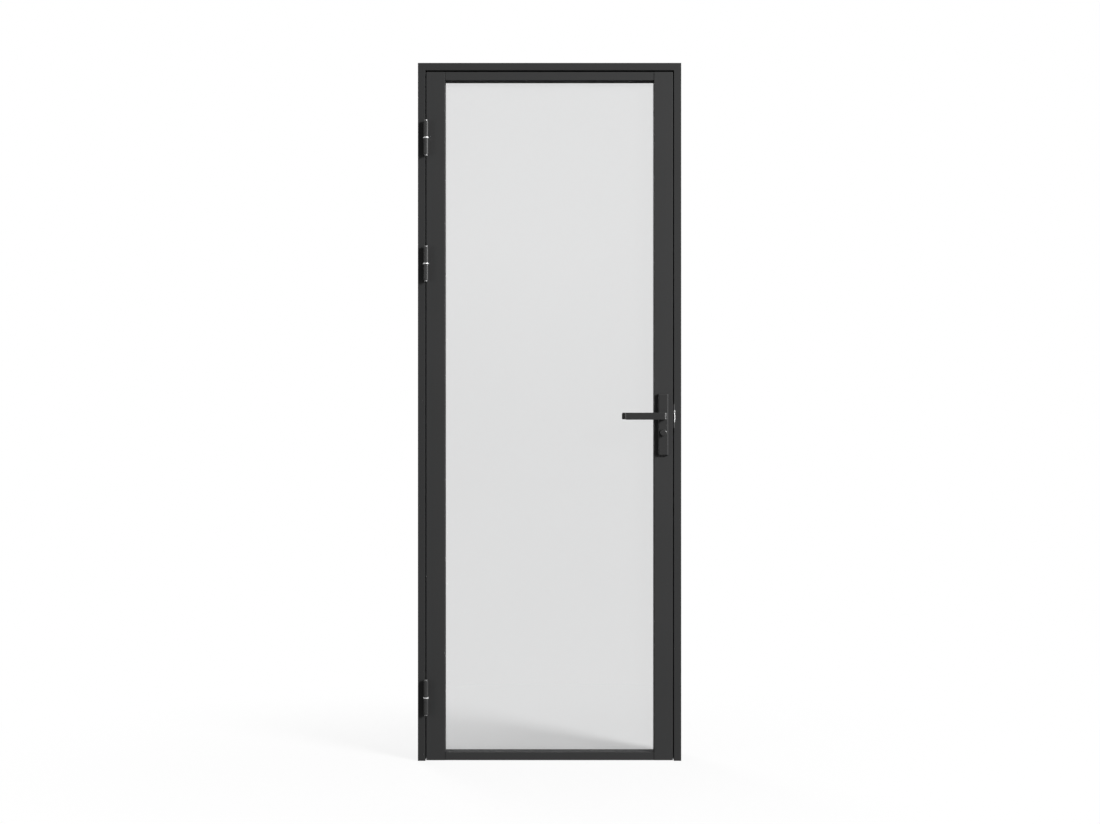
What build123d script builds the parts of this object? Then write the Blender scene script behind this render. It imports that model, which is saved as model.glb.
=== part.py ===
from build123d import *
import os
from math import cos, radians, sin

os.makedirs("parts", exist_ok=True)

# Sizes are in millimetres. X runs across the doorway from the hinge side to the lock side,
# Y from the pull face towards the stop, and Z up from the floor. The origin is on the floor,
# in the middle of the width and in the middle of the leaf's thickness.

# Frame
frame_width = 800
frame_height = 2120
frame_face = 22.5
frame_wall = 3
stop_depth = 25
stop_lap = 13
profile_edge = 1

# Gaps round the leaf
side_gap = 3
head_gap = 5.3
floor_gap = 2
stop_gap = 5

# Leaf profiles
leaf_thickness = 50
stile_face = 57
top_rail_face = 25.2
bottom_rail_face = 24
leaf_wall = 3
front_depth = 28
rebate_height = 12
rail_end_bevel = 0.7

# Glazing
glass_thickness = 8
gasket_thickness = 2
glass_clearance = 3
bead_height = 8
bead_back_height = 3.5
bead_round = 0.6
bead_wall = 1.2
block_length = 80
block_end_distance = 150

# Frame seals
seal_width = 8
seal_margin = 1.5
seal_play = 0.3
seal_round = 2.2

# Corner cleats and rail connectors
fit_clearance = 0.1
cleat_leg = 60
connector_length = 45
connector_screw_spacing = 10
connector_screw_length = 28
connector_screw_radius = 2
connector_head_radius = 3.6
connector_head_height = 3
access_hole_radius = 4.5

# Wall fixings through the jambs
fixing_radius = 4
fixing_depth = 35
fixing_lowest = 300
fixing_pitch = 480
fixing_count = 4
fixing_top_drop = 380

# Hinges
bottom_hinge_height = 195
top_hinge_drop = 202.2
hinge_pair_pitch = 381
hinge_stand = 9.5
hinge_offset = 1.8
knuckle_width = 13.4
knuckle_corner = 4.8
knuckle_length = 50.5
knuckle_round = 2
washer_thickness = 3
washer_radius = 8.2
washer_play = 0.1
pin_radius = 4
cap_radius = 5
cap_thickness = 1.5
running_clearance = 0.05
flap_thickness = 3
flap_recess = 2
flap_width = 32
flap_screw_pitch = 36
flap_screw_length = 14
backing_thickness = 5
backing_margin = 4

# Screws with flat heads, used at the hinges and the lock
screw_radius = 2.5
screw_head_radius = 4.4
screw_clearance = 0.1

# Lever set
backset = 30
lever_height = 1047
plate_width = 32
plate_thickness = 9
plate_above = 68
plate_below = 120
plate_corner = 3
plate_edge = 4.5
plate_bolt_distance = 52
plate_bolt_radius = 2.5
plate_bolt_head = 4.5
plate_bolt_seat = 5
spindle_side = 8
spindle_half = 66
square_clearance = 0.1
neck_radius = 9
neck_clearance = 0.3
neck_engagement = 5
collar_stand = 4
grip_height = 21
grip_thickness = 10
lever_stand = 58
lever_reach = 118
heel_round = 12.5
inner_bend = 5
tip_front_round = 3
tip_corner_round = 3.5
grip_edge = 1.2
grub_radius = 2
grub_length = 6
grub_stand = 16

# Turn knob, coin release and their square shaft
turn_drop = 50
knob_radius = 10.3
knob_height = 10
knob_edge = 2
turn_gap = 0.4
turn_neck_radius = 6
turn_neck_length = 6
shaft_side = 5
release_radius = 8
release_height = 2.5
coin_slot_width = 1.8
coin_slot_depth = 1.2

# Lock case
case_height = 114
case_top_above = 35
case_thickness = 15
case_wall = 1.2
case_back_clearance = 0.2
faceplate_width = 20
faceplate_overlap = 23
faceplate_thickness = 2
faceplate_screw_inset = 8
faceplate_screw_length = 9
clip_thickness = 4
clip_height = 16
pocket_clearance = 0.1
slide_clearance = 0.3

# Follower and latch
follower_radius = 8
follower_journal = 6.5
arm_width = 4
arm_thickness = 4.6
arm_tip_extra = 1.2
lever_turn = 40
arm_rest_lean = 30
latch_throw = 10
latch_height = 18
latch_thickness = 10
latch_nose = 2
tail_thickness = 5
tail_height = 4.5
hook_width = 2.2
arm_room = 0.4
riser_width = 6.5
spring_strip = 0.6
spring_width = 5
spring_bend = 3

# Dead bolt and its crank
bolt_drop = 25
bolt_throw = 12
bolt_height = 16
bolt_thickness = 10
bolt_setback = 0.5
bolt_tail_thickness = 4.2
bolt_tail_gap = 0.4
crank_turn = 90
crank_radius = 7
crank_journal = 5
crank_pin_radius = 2
crank_pin_collar = 1
crank_slot_room = 0.5
fork_wall = 1.6

# Strike
strike_overlap = 5
strike_half_width = 18
strike_thickness = 2
strike_tab_height = 74
lip_height = 36
lip_radius = 1.8
strike_hole_room = 0.7
strike_screw_inset = 10
strike_screw_length = 9
keep_room = 1.4
strike_backing_thickness = 4

# Cuts run this far past the faces they leave
overrun = 1

# Places worked out from the sizes above
front_y = -leaf_thickness / 2
rear_y = leaf_thickness / 2
stop_y = rear_y + stop_gap
back_y = stop_y + stop_depth
outer_x = frame_width / 2
rebate_x = outer_x - frame_face
stop_x = rebate_x - stop_lap
edge_x = rebate_x - side_gap
sight_x = edge_x - stile_face
pocket_x = sight_x + rebate_height
leaf_top = frame_height - frame_face - head_gap
leaf_bottom = floor_gap
sight_top = leaf_top - top_rail_face
sight_bottom = leaf_bottom + bottom_rail_face
pocket_top = sight_top + rebate_height
pocket_bottom = sight_bottom - rebate_height
lip_y = front_y + front_depth
glass_y = lip_y + gasket_thickness
glass_back_y = glass_y + glass_thickness
bead_y = glass_back_y + gasket_thickness
bead_set_back = rebate_height - bead_height
hinge_x = hinge_offset - (rebate_x + edge_x) / 2
hinge_y = front_y - hinge_stand
hinge_half = knuckle_length + washer_thickness / 2
top_hinge_height = leaf_top - top_hinge_drop
hinges = {
    "top": top_hinge_height,
    "upper": top_hinge_height - hinge_pair_pitch,
    "bottom": bottom_hinge_height,
}
flap_screw_offsets = (-flap_screw_pitch, 0, flap_screw_pitch)
flap_screw_y = front_y + flap_width / 2
lever_x = edge_x - backset
turn_height = lever_height - turn_drop
bolt_level = lever_height - bolt_drop
plate_top = lever_height + plate_above
plate_bottom = lever_height - plate_below
plate_bolt_heights = (lever_height + plate_bolt_distance, turn_height - plate_bolt_distance)
case_x = pocket_x + leaf_wall + case_back_clearance
case_front = edge_x - faceplate_thickness
case_top = lever_height + case_top_above
case_bottom = case_top - case_height
case_y = case_thickness / 2
case_inner = case_y - case_wall
faceplate_z = (case_bottom - faceplate_overlap, case_top + faceplate_overlap)
faceplate_screw_heights = (
    faceplate_z[1] - faceplate_screw_inset,
    faceplate_z[0] + faceplate_screw_inset,
)
arm_radius = latch_throw / (sin(radians(arm_rest_lean)) + sin(radians(lever_turn - arm_rest_lean)))
arm_tip = arm_radius + arm_tip_extra
strike_middle = (lever_height + bolt_level) / 2
strike_reach = case_height / 2 + strike_overlap
strike_z = (strike_middle - strike_reach, strike_middle + strike_reach)
strike_screw_heights = (strike_z[1] - strike_screw_inset, strike_z[0] + strike_screw_inset)
crank_arm = bolt_throw / 2 / sin(radians(crank_turn / 2))
fixing_y = rear_y - (leaf_thickness - fixing_depth)
fixing_heights = [fixing_lowest + fixing_pitch * i for i in range(fixing_count - 1)]
fixing_heights.append(frame_height - fixing_top_drop)
seal_x = stop_x + seal_margin
seal_top = frame_height - frame_face - stop_lap + seal_margin

BASE = (Align.CENTER, Align.CENTER, Align.MIN)
RIGHT, LEFT = (1, 0, 0), (-1, 0, 0)
BACK, FRONT = (0, 1, 0), (0, -1, 0)
UP, DOWN = (0, 0, 1), (0, 0, -1)


def keep(piece, node):
    """Label a finished piece and write its file."""
    piece.part.label = node
    export_step(piece.part, f"parts/{node}.step")


def block(x, y, z, mode=Mode.ADD):
    """Box between the limits of three (low, high) pairs."""
    spans = (x, y, z)
    with Locations(tuple((low + high) / 2 for low, high in spans)):
        Box(*[high - low for low, high in spans], mode=mode)


def rod(origin, way, radius, length, mode=Mode.ADD):
    """Round bar or hole that starts at a point and runs one way."""
    with Locations(Plane(origin=origin, z_dir=way)):
        Cylinder(radius, length, align=BASE, mode=mode)


def square_bar(origin, way, side, length, mode=Mode.ADD):
    """Square bar or hole that starts at a point and runs one way."""
    with Locations(Plane(origin=origin, x_dir=RIGHT, z_dir=way)):
        Box(side, side, length, align=BASE, mode=mode)


def countersunk(origin, way, head, shank, length, mode=Mode.ADD):
    """Flat-headed screw, or the hole for one, with its head level with a point."""
    with Locations(Plane(origin=origin, z_dir=way)):
        Cone(head, shank, head - shank, align=BASE, mode=mode)
        Cylinder(shank, length, align=BASE, mode=mode)


def lock_screw_hole(origin, way, length):
    """Hole for a flat-headed lock or hinge screw, with clearance all round."""
    head = screw_head_radius + screw_clearance
    countersunk(origin, way, head, screw_radius + screw_clearance, length, Mode.SUBTRACT)


def frame_outline(inset):
    """Corners of the frame section: a face bar with the stop standing in at its back."""
    stop_start = stop_y - front_y
    return [
        (inset, inset),
        (frame_face - inset, inset),
        (frame_face - inset, stop_start + inset),
        (frame_face + stop_lap - inset, stop_start + inset),
        (frame_face + stop_lap - inset, back_y - front_y - inset),
        (inset, back_y - front_y - inset),
    ]


def leaf_outline(face, inset):
    """Corners of a leaf section: a full-width front with the glazing rebate behind it."""
    return [
        (inset, inset),
        (face - inset, inset),
        (face - inset, front_depth - inset),
        (face - rebate_height - inset, front_depth - inset),
        (face - rebate_height - inset, leaf_thickness - inset),
        (inset, leaf_thickness - inset),
    ]


def hollow_section(plane, outer, inner, rounded):
    """Closed hollow section drawn on a plane, with some of its outer corners rounded."""
    with BuildSketch(plane) as section:
        Polygon(*outer, align=None)
        corners = [section.vertices().sort_by_distance((*outer[i], 0))[0] for i in rounded]
        fillet(corners, radius=profile_edge)
        Polygon(*inner, align=None, mode=Mode.SUBTRACT)
    return section.sketch


def frame_section(plane):
    """Hollow section of the jambs and the header, with every corner but the rebate's rounded."""
    return hollow_section(plane, frame_outline(0), frame_outline(frame_wall), (0, 1, 3, 4, 5))


def leaf_section(plane, face):
    """Hollow section of a stile or rail, with its outer edge and its front sight edge rounded."""
    return hollow_section(plane, leaf_outline(face, 0), leaf_outline(face, leaf_wall), (0, 1, 5))


def jamb_fixing_holes(side):
    """Holes for the wall fixings, hidden behind the closed leaf."""
    for height in fixing_heights:
        start = (side * (stop_x - overrun), fixing_y, height)
        rod(start, (side, 0, 0), fixing_radius, frame_face + stop_lap + overrun * 2, Mode.SUBTRACT)


hinge_corner = Plane(origin=(-outer_x, 0, frame_height), z_dir=(1, 0, 1))
lock_corner = Plane(origin=(outer_x, 0, frame_height), z_dir=(-1, 0, 1))

# Hinge jamb, with a pocket and screw holes for each hinge
with BuildPart() as hinge_jamb:
    jamb_plane = Plane(origin=(-outer_x, front_y, 0), x_dir=RIGHT, z_dir=UP)
    extrude(frame_section(jamb_plane), amount=frame_height)
    split(bisect_by=hinge_corner, keep=Keep.BOTTOM)
    jamb_fixing_holes(-1)
    for height in hinges.values():
        block(
            (-rebate_x - flap_recess, -rebate_x + overrun),
            (front_y - overrun, front_y + flap_width),
            (height - hinge_half, height + hinge_half),
            Mode.SUBTRACT,
        )
        for screw_step in flap_screw_offsets:
            hole_start = (-rebate_x, flap_screw_y, height + screw_step)
            rod(hole_start, LEFT, screw_radius + screw_clearance, frame_wall + overrun, Mode.SUBTRACT)
keep(hinge_jamb, "hinge_jamb")

# Lock jamb, with the recess and the keep opening of the strike
tab_z = (lever_height - strike_tab_height / 2, lever_height + strike_tab_height / 2)
keep_y = latch_thickness / 2 + keep_room
keep_z = (bolt_level - bolt_height / 2 - keep_room, lever_height + latch_height / 2 + keep_room)
with BuildPart() as lock_jamb:
    jamb_plane = Plane(origin=(outer_x, front_y, frame_height), x_dir=LEFT, z_dir=DOWN)
    extrude(frame_section(jamb_plane), amount=frame_height)
    split(bisect_by=lock_corner, keep=Keep.BOTTOM)
    jamb_fixing_holes(1)
    recess_x = (rebate_x - overrun, rebate_x + strike_thickness)
    block(recess_x, (-strike_half_width, strike_half_width), strike_z, Mode.SUBTRACT)
    block(recess_x, (front_y - overrun, -strike_half_width), tab_z, Mode.SUBTRACT)
    block((rebate_x, rebate_x + frame_wall + overrun), (-keep_y, keep_y), keep_z, Mode.SUBTRACT)
    for height in strike_screw_heights:
        hole_start = (rebate_x, 0, height)
        rod(hole_start, RIGHT, screw_radius + screw_clearance, frame_wall + overrun, Mode.SUBTRACT)
keep(lock_jamb, "lock_jamb")

# Header, mitred to both jambs
with BuildPart() as frame_header:
    header_plane = Plane(origin=(0, front_y, frame_height), x_dir=DOWN, z_dir=RIGHT)
    extrude(frame_section(header_plane), amount=outer_x, both=True)
    split(bisect_by=hinge_corner, keep=Keep.TOP)
    split(bisect_by=lock_corner, keep=Keep.TOP)
keep(frame_header, "frame_header")

# Corner cleats, an angle block pressed into each mitred corner
cleat_inset = frame_wall + fit_clearance
cleat_width = frame_face - cleat_inset * 2
with BuildPart() as corner_cleats:
    for side in (-1, 1):
        corner_x = side * (outer_x - cleat_inset)
        corner_z = frame_height - cleat_inset
        with BuildSketch(Plane.XZ.offset(-back_y + cleat_inset)):
            with BuildLine():
                Polyline(
                    (corner_x, corner_z),
                    (corner_x, corner_z - cleat_leg),
                    (corner_x - side * cleat_width, corner_z - cleat_leg),
                    (corner_x - side * cleat_width, corner_z - cleat_width),
                    (corner_x - side * cleat_leg, corner_z - cleat_width),
                    (corner_x - side * cleat_leg, corner_z),
                    close=True,
                )
            make_face()
        extrude(amount=back_y - front_y - cleat_inset * 2)
keep(corner_cleats, "corner_cleats")


def seal_section(plane):
    """D section of a stop seal: flat on the stop, rounded towards the leaf."""
    thickness = stop_gap - seal_play
    with BuildSketch(plane) as section:
        Rectangle(seal_width, thickness, align=(Align.MIN, Align.MIN))
        fillet(section.vertices().group_by(Axis.Y)[0], radius=seal_round)
    return section.sketch


# Stop seals, one strip on each side of the frame
for side, node in ((-1, "hinge_side_seal"), (1, "lock_side_seal")):
    start_x = -seal_x - seal_width if side < 0 else seal_x
    with BuildPart() as side_seal:
        seal_plane = Plane(origin=(start_x, rear_y + seal_play, 0), x_dir=RIGHT, z_dir=UP)
        extrude(seal_section(seal_plane), amount=seal_top + seal_width)
    keep(side_seal, node)
with BuildPart() as head_seal:
    seal_origin = (0, rear_y + seal_play, seal_top + seal_width)
    extrude(seal_section(Plane(origin=seal_origin, x_dir=DOWN, z_dir=RIGHT)), amount=seal_x, both=True)
keep(head_seal, "head_seal")

# Strike plate, let into the jamb, with a curled lip that guides the latch
latch_hole_z = latch_height / 2 + strike_hole_room
bolt_hole_z = bolt_height / 2 + strike_hole_room
hole_y = latch_thickness / 2 + strike_hole_room
strike_x = (rebate_x, rebate_x + strike_thickness)
with BuildPart() as strike_plate:
    block(strike_x, (-strike_half_width, strike_half_width), strike_z)
    block(strike_x, (front_y, -strike_half_width), tab_z)
    with BuildSketch(Plane.XY.offset(lever_height - lip_height / 2)):
        with Locations((rebate_x + lip_radius, front_y)):
            Circle(lip_radius)
            lip_align = (Align.CENTER, Align.MAX)
            Rectangle(lip_radius * 2, lip_radius, align=lip_align, mode=Mode.INTERSECT)
    extrude(amount=lip_height)
    for level, reach in ((lever_height, latch_hole_z), (bolt_level, bolt_hole_z)):
        cut_x = (rebate_x - overrun, rebate_x + strike_thickness + overrun)
        block(cut_x, (-hole_y, hole_y), (level - reach, level + reach), Mode.SUBTRACT)
    for height in strike_screw_heights:
        lock_screw_hole((rebate_x, 0, height), RIGHT, strike_thickness + overrun)
keep(strike_plate, "strike_plate")

with BuildPart() as strike_screws:
    for height in strike_screw_heights:
        countersunk((rebate_x, 0, height), RIGHT, screw_head_radius, screw_radius, strike_screw_length)
keep(strike_screws, "strike_screws")

# Backing plate inside the lock jamb, which takes the strike screws
backing_x = rebate_x + frame_wall
with BuildPart() as strike_backing_plate:
    block(
        (backing_x, backing_x + strike_backing_thickness),
        (-strike_half_width + backing_margin, strike_half_width - backing_margin),
        strike_z,
    )
    block(
        (backing_x - overrun, backing_x + strike_backing_thickness + overrun),
        (-keep_y, keep_y),
        keep_z,
        Mode.SUBTRACT,
    )
    for height in strike_screw_heights:
        rod(
            (backing_x - overrun, 0, height),
            RIGHT,
            screw_radius + screw_clearance,
            strike_backing_thickness + overrun * 2,
            Mode.SUBTRACT,
        )
keep(strike_backing_plate, "strike_backing_plate")


def hinge_flap(piece, height, end, face_x, way):
    """Flap in the gap, the tongue that leaves it and the knuckle, which points up or down."""
    inner = height + end * washer_thickness / 2
    outer = height + end * hinge_half
    plate_x = sorted((face_x, face_x + way[0] * flap_thickness))
    with BuildSketch(Plane(origin=(hinge_x, hinge_y, inner), z_dir=(0, 0, end))) as section:
        RectangleRounded(knuckle_width, knuckle_width, knuckle_corner)
    extrude(section.sketch, amount=knuckle_length)
    knuckle_end = piece.faces().sort_by(Axis.Z)[-1 if end > 0 else 0]
    fillet(knuckle_end.edges(), radius=knuckle_round)
    block(plate_x, (front_y, front_y + flap_width), (height - hinge_half, height + hinge_half))
    block(plate_x, (hinge_y, front_y), sorted((inner, outer)))
    bore = pin_radius + running_clearance
    rod((hinge_x, hinge_y, inner), (0, 0, end), bore, knuckle_length, Mode.SUBTRACT)
    for screw_step in flap_screw_offsets:
        lock_screw_hole((face_x, flap_screw_y, height + screw_step), way, flap_thickness + overrun)


flap_proud = flap_thickness - flap_recess
frame_flap_x = -rebate_x + flap_proud
door_flap_x = -edge_x - flap_proud

# Hinges: a frame flap with the lower knuckle, a door flap with the upper one, a washer and a capped pin
for name, height in hinges.items():
    with BuildPart() as frame_flap:
        hinge_flap(frame_flap, height, -1, frame_flap_x, LEFT)
    keep(frame_flap, f"{name}_hinge_frame_flap")
    with BuildPart() as door_flap:
        hinge_flap(door_flap, height, 1, door_flap_x, RIGHT)
    keep(door_flap, f"{name}_hinge_door_flap")
    with BuildPart() as hinge_pin:
        pin_foot = height - hinge_half
        pin_head = height + hinge_half + washer_play
        rod((hinge_x, hinge_y, pin_foot - cap_thickness), UP, cap_radius, cap_thickness)
        rod((hinge_x, hinge_y, pin_foot), UP, pin_radius, pin_head - pin_foot)
        rod((hinge_x, hinge_y, pin_head), UP, cap_radius, cap_thickness - washer_play)
    keep(hinge_pin, f"{name}_hinge_pin")
    with BuildPart() as hinge_washer:
        washer_base = (hinge_x, hinge_y, height - washer_thickness / 2)
        rod(washer_base, UP, washer_radius, washer_thickness - washer_play)
        rod(washer_base, UP, pin_radius + running_clearance, washer_thickness, Mode.SUBTRACT)
    keep(hinge_washer, f"{name}_hinge_washer")


def hinge_screws(face_x, way):
    """The flat-headed screws of one side of all hinges."""
    for height in hinges.values():
        for screw_step in flap_screw_offsets:
            origin = (face_x, flap_screw_y, height + screw_step)
            countersunk(origin, way, screw_head_radius, screw_radius, flap_screw_length)


def hinge_backing(wall_x, way):
    """Threaded plates inside the hollow profile, one behind each flap."""
    for height in hinges.values():
        plate_x = sorted((wall_x, wall_x + way[0] * backing_thickness))
        plate_y_span = (front_y + backing_margin, front_y + flap_width - backing_margin)
        block(plate_x, plate_y_span, (height - hinge_half, height + hinge_half))
        for screw_step in flap_screw_offsets:
            origin = (wall_x, flap_screw_y, height + screw_step)
            rod(origin, way, screw_radius + screw_clearance, backing_thickness, Mode.SUBTRACT)


with BuildPart() as hinge_frame_screws:
    hinge_screws(frame_flap_x, LEFT)
keep(hinge_frame_screws, "hinge_frame_screws")
with BuildPart() as hinge_door_screws:
    hinge_screws(door_flap_x, RIGHT)
keep(hinge_door_screws, "hinge_door_screws")
with BuildPart() as hinge_frame_backing_plates:
    hinge_backing(-rebate_x - frame_wall, LEFT)
keep(hinge_frame_backing_plates, "hinge_frame_backing_plates")
with BuildPart() as hinge_door_backing_plates:
    hinge_backing(-edge_x + leaf_wall, RIGHT)
keep(hinge_door_backing_plates, "hinge_door_backing_plates")

# Middle of each rail's front chamber, where the connectors and their screws sit
rail_levels = (
    leaf_bottom + bottom_rail_face / 2,
    leaf_top - top_rail_face / 2,
)
connector_y = front_y + front_depth / 2
connector_screw_ys = (
    connector_y - connector_screw_spacing / 2,
    connector_y + connector_screw_spacing / 2,
)


def connector_screw_holes(side):
    """Holes in a stile for the rail screws, with access holes in its outer edge."""
    for level in rail_levels:
        for y in connector_screw_ys:
            inner_start = (side * (sight_x - overrun), y, level)
            shank = connector_screw_radius + screw_clearance
            rod(inner_start, (side, 0, 0), shank, leaf_wall + overrun * 2, Mode.SUBTRACT)
            outer_start = (side * (edge_x + overrun), y, level)
            rod(outer_start, (-side, 0, 0), access_hole_radius, leaf_wall + overrun * 2, Mode.SUBTRACT)


# Hinge stile
with BuildPart() as hinge_stile:
    stile_plane = Plane(origin=(-edge_x, front_y, leaf_bottom), x_dir=RIGHT, z_dir=UP)
    extrude(leaf_section(stile_plane, stile_face), amount=leaf_top - leaf_bottom)
    connector_screw_holes(-1)
    for height in hinges.values():
        block(
            (-edge_x - overrun, -edge_x + flap_recess),
            (front_y - overrun, front_y + flap_width),
            (height - hinge_half, height + hinge_half),
            Mode.SUBTRACT,
        )
        for screw_step in flap_screw_offsets:
            hole_start = (-edge_x, flap_screw_y, height + screw_step)
            rod(hole_start, RIGHT, screw_radius + screw_clearance, leaf_wall + overrun, Mode.SUBTRACT)
keep(hinge_stile, "hinge_stile")

# Lock stile, cut for the lock, the spindles and the plate bolts
with BuildPart() as lock_stile:
    stile_plane = Plane(origin=(edge_x, front_y, leaf_top), x_dir=LEFT, z_dir=DOWN)
    extrude(leaf_section(stile_plane, stile_face), amount=leaf_top - leaf_bottom)
    connector_screw_holes(1)
    pocket_y = faceplate_width / 2 + pocket_clearance
    block(
        (edge_x - faceplate_thickness, edge_x + overrun),
        (-pocket_y, pocket_y),
        (faceplate_z[0] - pocket_clearance, faceplate_z[1] + pocket_clearance),
        Mode.SUBTRACT,
    )
    mortice_y = case_y + pocket_clearance
    block(
        (edge_x - leaf_wall - overrun, edge_x),
        (-mortice_y, mortice_y),
        (case_bottom - pocket_clearance, case_top + pocket_clearance),
        Mode.SUBTRACT,
    )
    for height in faceplate_screw_heights:
        hole_start = (edge_x, 0, height)
        rod(hole_start, LEFT, screw_radius + screw_clearance, leaf_wall + overrun, Mode.SUBTRACT)
    through = leaf_thickness + overrun * 2
    start_y = front_y - overrun
    rod((lever_x, start_y, lever_height), BACK, follower_journal, through, Mode.SUBTRACT)
    rod((lever_x, start_y, turn_height), BACK, crank_journal, through, Mode.SUBTRACT)
    for height in plate_bolt_heights:
        bolt_hole = plate_bolt_radius + screw_clearance
        rod((lever_x, start_y, height), BACK, bolt_hole, through, Mode.SUBTRACT)
keep(lock_stile, "lock_stile")


def rail(plane, face, low, high):
    """Rail between the stiles, its front butting against them and its back running into their rebates."""
    extrude(leaf_section(plane, face), amount=pocket_x, both=True)
    for side in (-1, 1):
        block(
            sorted((side * sight_x, side * (pocket_x + overrun))),
            (front_y - overrun, lip_y),
            (low - overrun, high + overrun),
            Mode.SUBTRACT,
        )
        with BuildSketch(Plane.XY.offset(low - overrun)) as bevel:
            with BuildLine():
                Polyline(
                    (side * (sight_x + overrun), front_y - overrun),
                    (side * (sight_x - rail_end_bevel - overrun), front_y - overrun),
                    (side * (sight_x + overrun), front_y + rail_end_bevel + overrun),
                    close=True,
                )
            make_face()
        extrude(bevel.sketch, amount=high - low + overrun * 2, mode=Mode.SUBTRACT)


# Rails
with BuildPart() as top_rail:
    rail_plane = Plane(origin=(0, front_y, leaf_top), x_dir=DOWN, z_dir=RIGHT)
    rail(rail_plane, top_rail_face, sight_top, leaf_top)
keep(top_rail, "top_rail")
with BuildPart() as bottom_rail:
    rail_plane = Plane(origin=(0, front_y, leaf_bottom), x_dir=UP, z_dir=LEFT)
    rail(rail_plane, bottom_rail_face, leaf_bottom, sight_bottom)
keep(bottom_rail, "bottom_rail")

# Rail connectors, a block in each rail end that the stile's screws pull tight
with BuildPart() as rail_connectors:
    for level, face in zip(rail_levels, (bottom_rail_face, top_rail_face)):
        half_height = face / 2 - leaf_wall - fit_clearance
        half_depth = front_depth / 2 - leaf_wall - fit_clearance
        for side in (-1, 1):
            block(
                sorted((side * (sight_x - connector_length), side * sight_x)),
                (connector_y - half_depth, connector_y + half_depth),
                (level - half_height, level + half_height),
            )
            for y in connector_screw_ys:
                hole_start = (side * sight_x, y, level)
                shank = connector_screw_radius + screw_clearance
                rod(hole_start, (-side, 0, 0), shank, connector_screw_length, Mode.SUBTRACT)
keep(rail_connectors, "rail_connectors")

with BuildPart() as rail_screws:
    for level in rail_levels:
        for side in (-1, 1):
            for y in connector_screw_ys:
                head_x = side * (sight_x + leaf_wall)
                rod((head_x, y, level), (side, 0, 0), connector_head_radius, connector_head_height)
                rod((head_x, y, level), (-side, 0, 0), connector_screw_radius, connector_screw_length)
keep(rail_screws, "rail_screws")

# Glass pane
glass_x = pocket_x - glass_clearance
glass_low = pocket_bottom + glass_clearance
glass_high = pocket_top - glass_clearance
with BuildPart() as glass_pane:
    block((-glass_x, glass_x), (glass_y, glass_back_y), (glass_low, glass_high))
keep(glass_pane, "glass_pane")


def glazing_gasket(start_y, set_back):
    """Ring of gasket between the glass and the profile or bead, set back from the sight line."""
    side_span = (start_y, start_y + gasket_thickness)
    block((-glass_x, glass_x), side_span, (glass_low, glass_high))
    cut_span = (start_y - overrun, start_y + gasket_thickness + overrun)
    open_x = sight_x + set_back
    open_span = (sight_bottom - set_back, sight_top + set_back)
    block((-open_x, open_x), cut_span, open_span, Mode.SUBTRACT)


# Glazing gaskets
with BuildPart() as front_glazing_gasket:
    glazing_gasket(lip_y, 0)
keep(front_glazing_gasket, "front_glazing_gasket")
with BuildPart() as rear_glazing_gasket:
    glazing_gasket(glass_back_y, bead_set_back)
keep(rear_glazing_gasket, "rear_glazing_gasket")


def bead_section(plane):
    """Hollow bead, highest at the glass, its open side sloping down to the back."""
    bead_depth = rear_y - bead_y
    with BuildSketch(plane) as section:
        with BuildLine():
            Polyline(
                (0, 0),
                (bead_height, 0),
                (bead_back_height, bead_depth),
                (0, bead_depth),
                close=True,
            )
        make_face()
        offset(amount=-bead_wall, mode=Mode.SUBTRACT)
        fillet(section.vertices().sort_by(Axis.X)[-1], radius=bead_round)
    return section.sketch


def bead_mitre(side, end):
    """Mitre plane at a corner of the rebate, facing the top or bottom bead."""
    corner_z = pocket_top if end > 0 else pocket_bottom
    return Plane(origin=(side * pocket_x, 0, corner_z), z_dir=(-side, 0, end))


# Glazing beads, mitred at the corners
pocket_length = pocket_top - pocket_bottom
with BuildPart() as top_bead:
    bead_plane = Plane(origin=(0, bead_y, pocket_top), x_dir=DOWN, z_dir=RIGHT)
    extrude(bead_section(bead_plane), amount=pocket_x, both=True)
    split(bisect_by=bead_mitre(-1, 1), keep=Keep.TOP)
    split(bisect_by=bead_mitre(1, 1), keep=Keep.TOP)
keep(top_bead, "top_bead")
with BuildPart() as bottom_bead:
    bead_plane = Plane(origin=(0, bead_y, pocket_bottom), x_dir=UP, z_dir=LEFT)
    extrude(bead_section(bead_plane), amount=pocket_x, both=True)
    split(bisect_by=bead_mitre(-1, -1), keep=Keep.TOP)
    split(bisect_by=bead_mitre(1, -1), keep=Keep.TOP)
keep(bottom_bead, "bottom_bead")
with BuildPart() as hinge_side_bead:
    bead_plane = Plane(origin=(-pocket_x, bead_y, pocket_bottom), x_dir=RIGHT, z_dir=UP)
    extrude(bead_section(bead_plane), amount=pocket_length)
    split(bisect_by=bead_mitre(-1, 1), keep=Keep.BOTTOM)
    split(bisect_by=bead_mitre(-1, -1), keep=Keep.BOTTOM)
keep(hinge_side_bead, "hinge_side_bead")
with BuildPart() as lock_side_bead:
    bead_plane = Plane(origin=(pocket_x, bead_y, pocket_top), x_dir=LEFT, z_dir=DOWN)
    extrude(bead_section(bead_plane), amount=pocket_length)
    split(bisect_by=bead_mitre(1, 1), keep=Keep.BOTTOM)
    split(bisect_by=bead_mitre(1, -1), keep=Keep.BOTTOM)
keep(lock_side_bead, "lock_side_bead")

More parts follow.
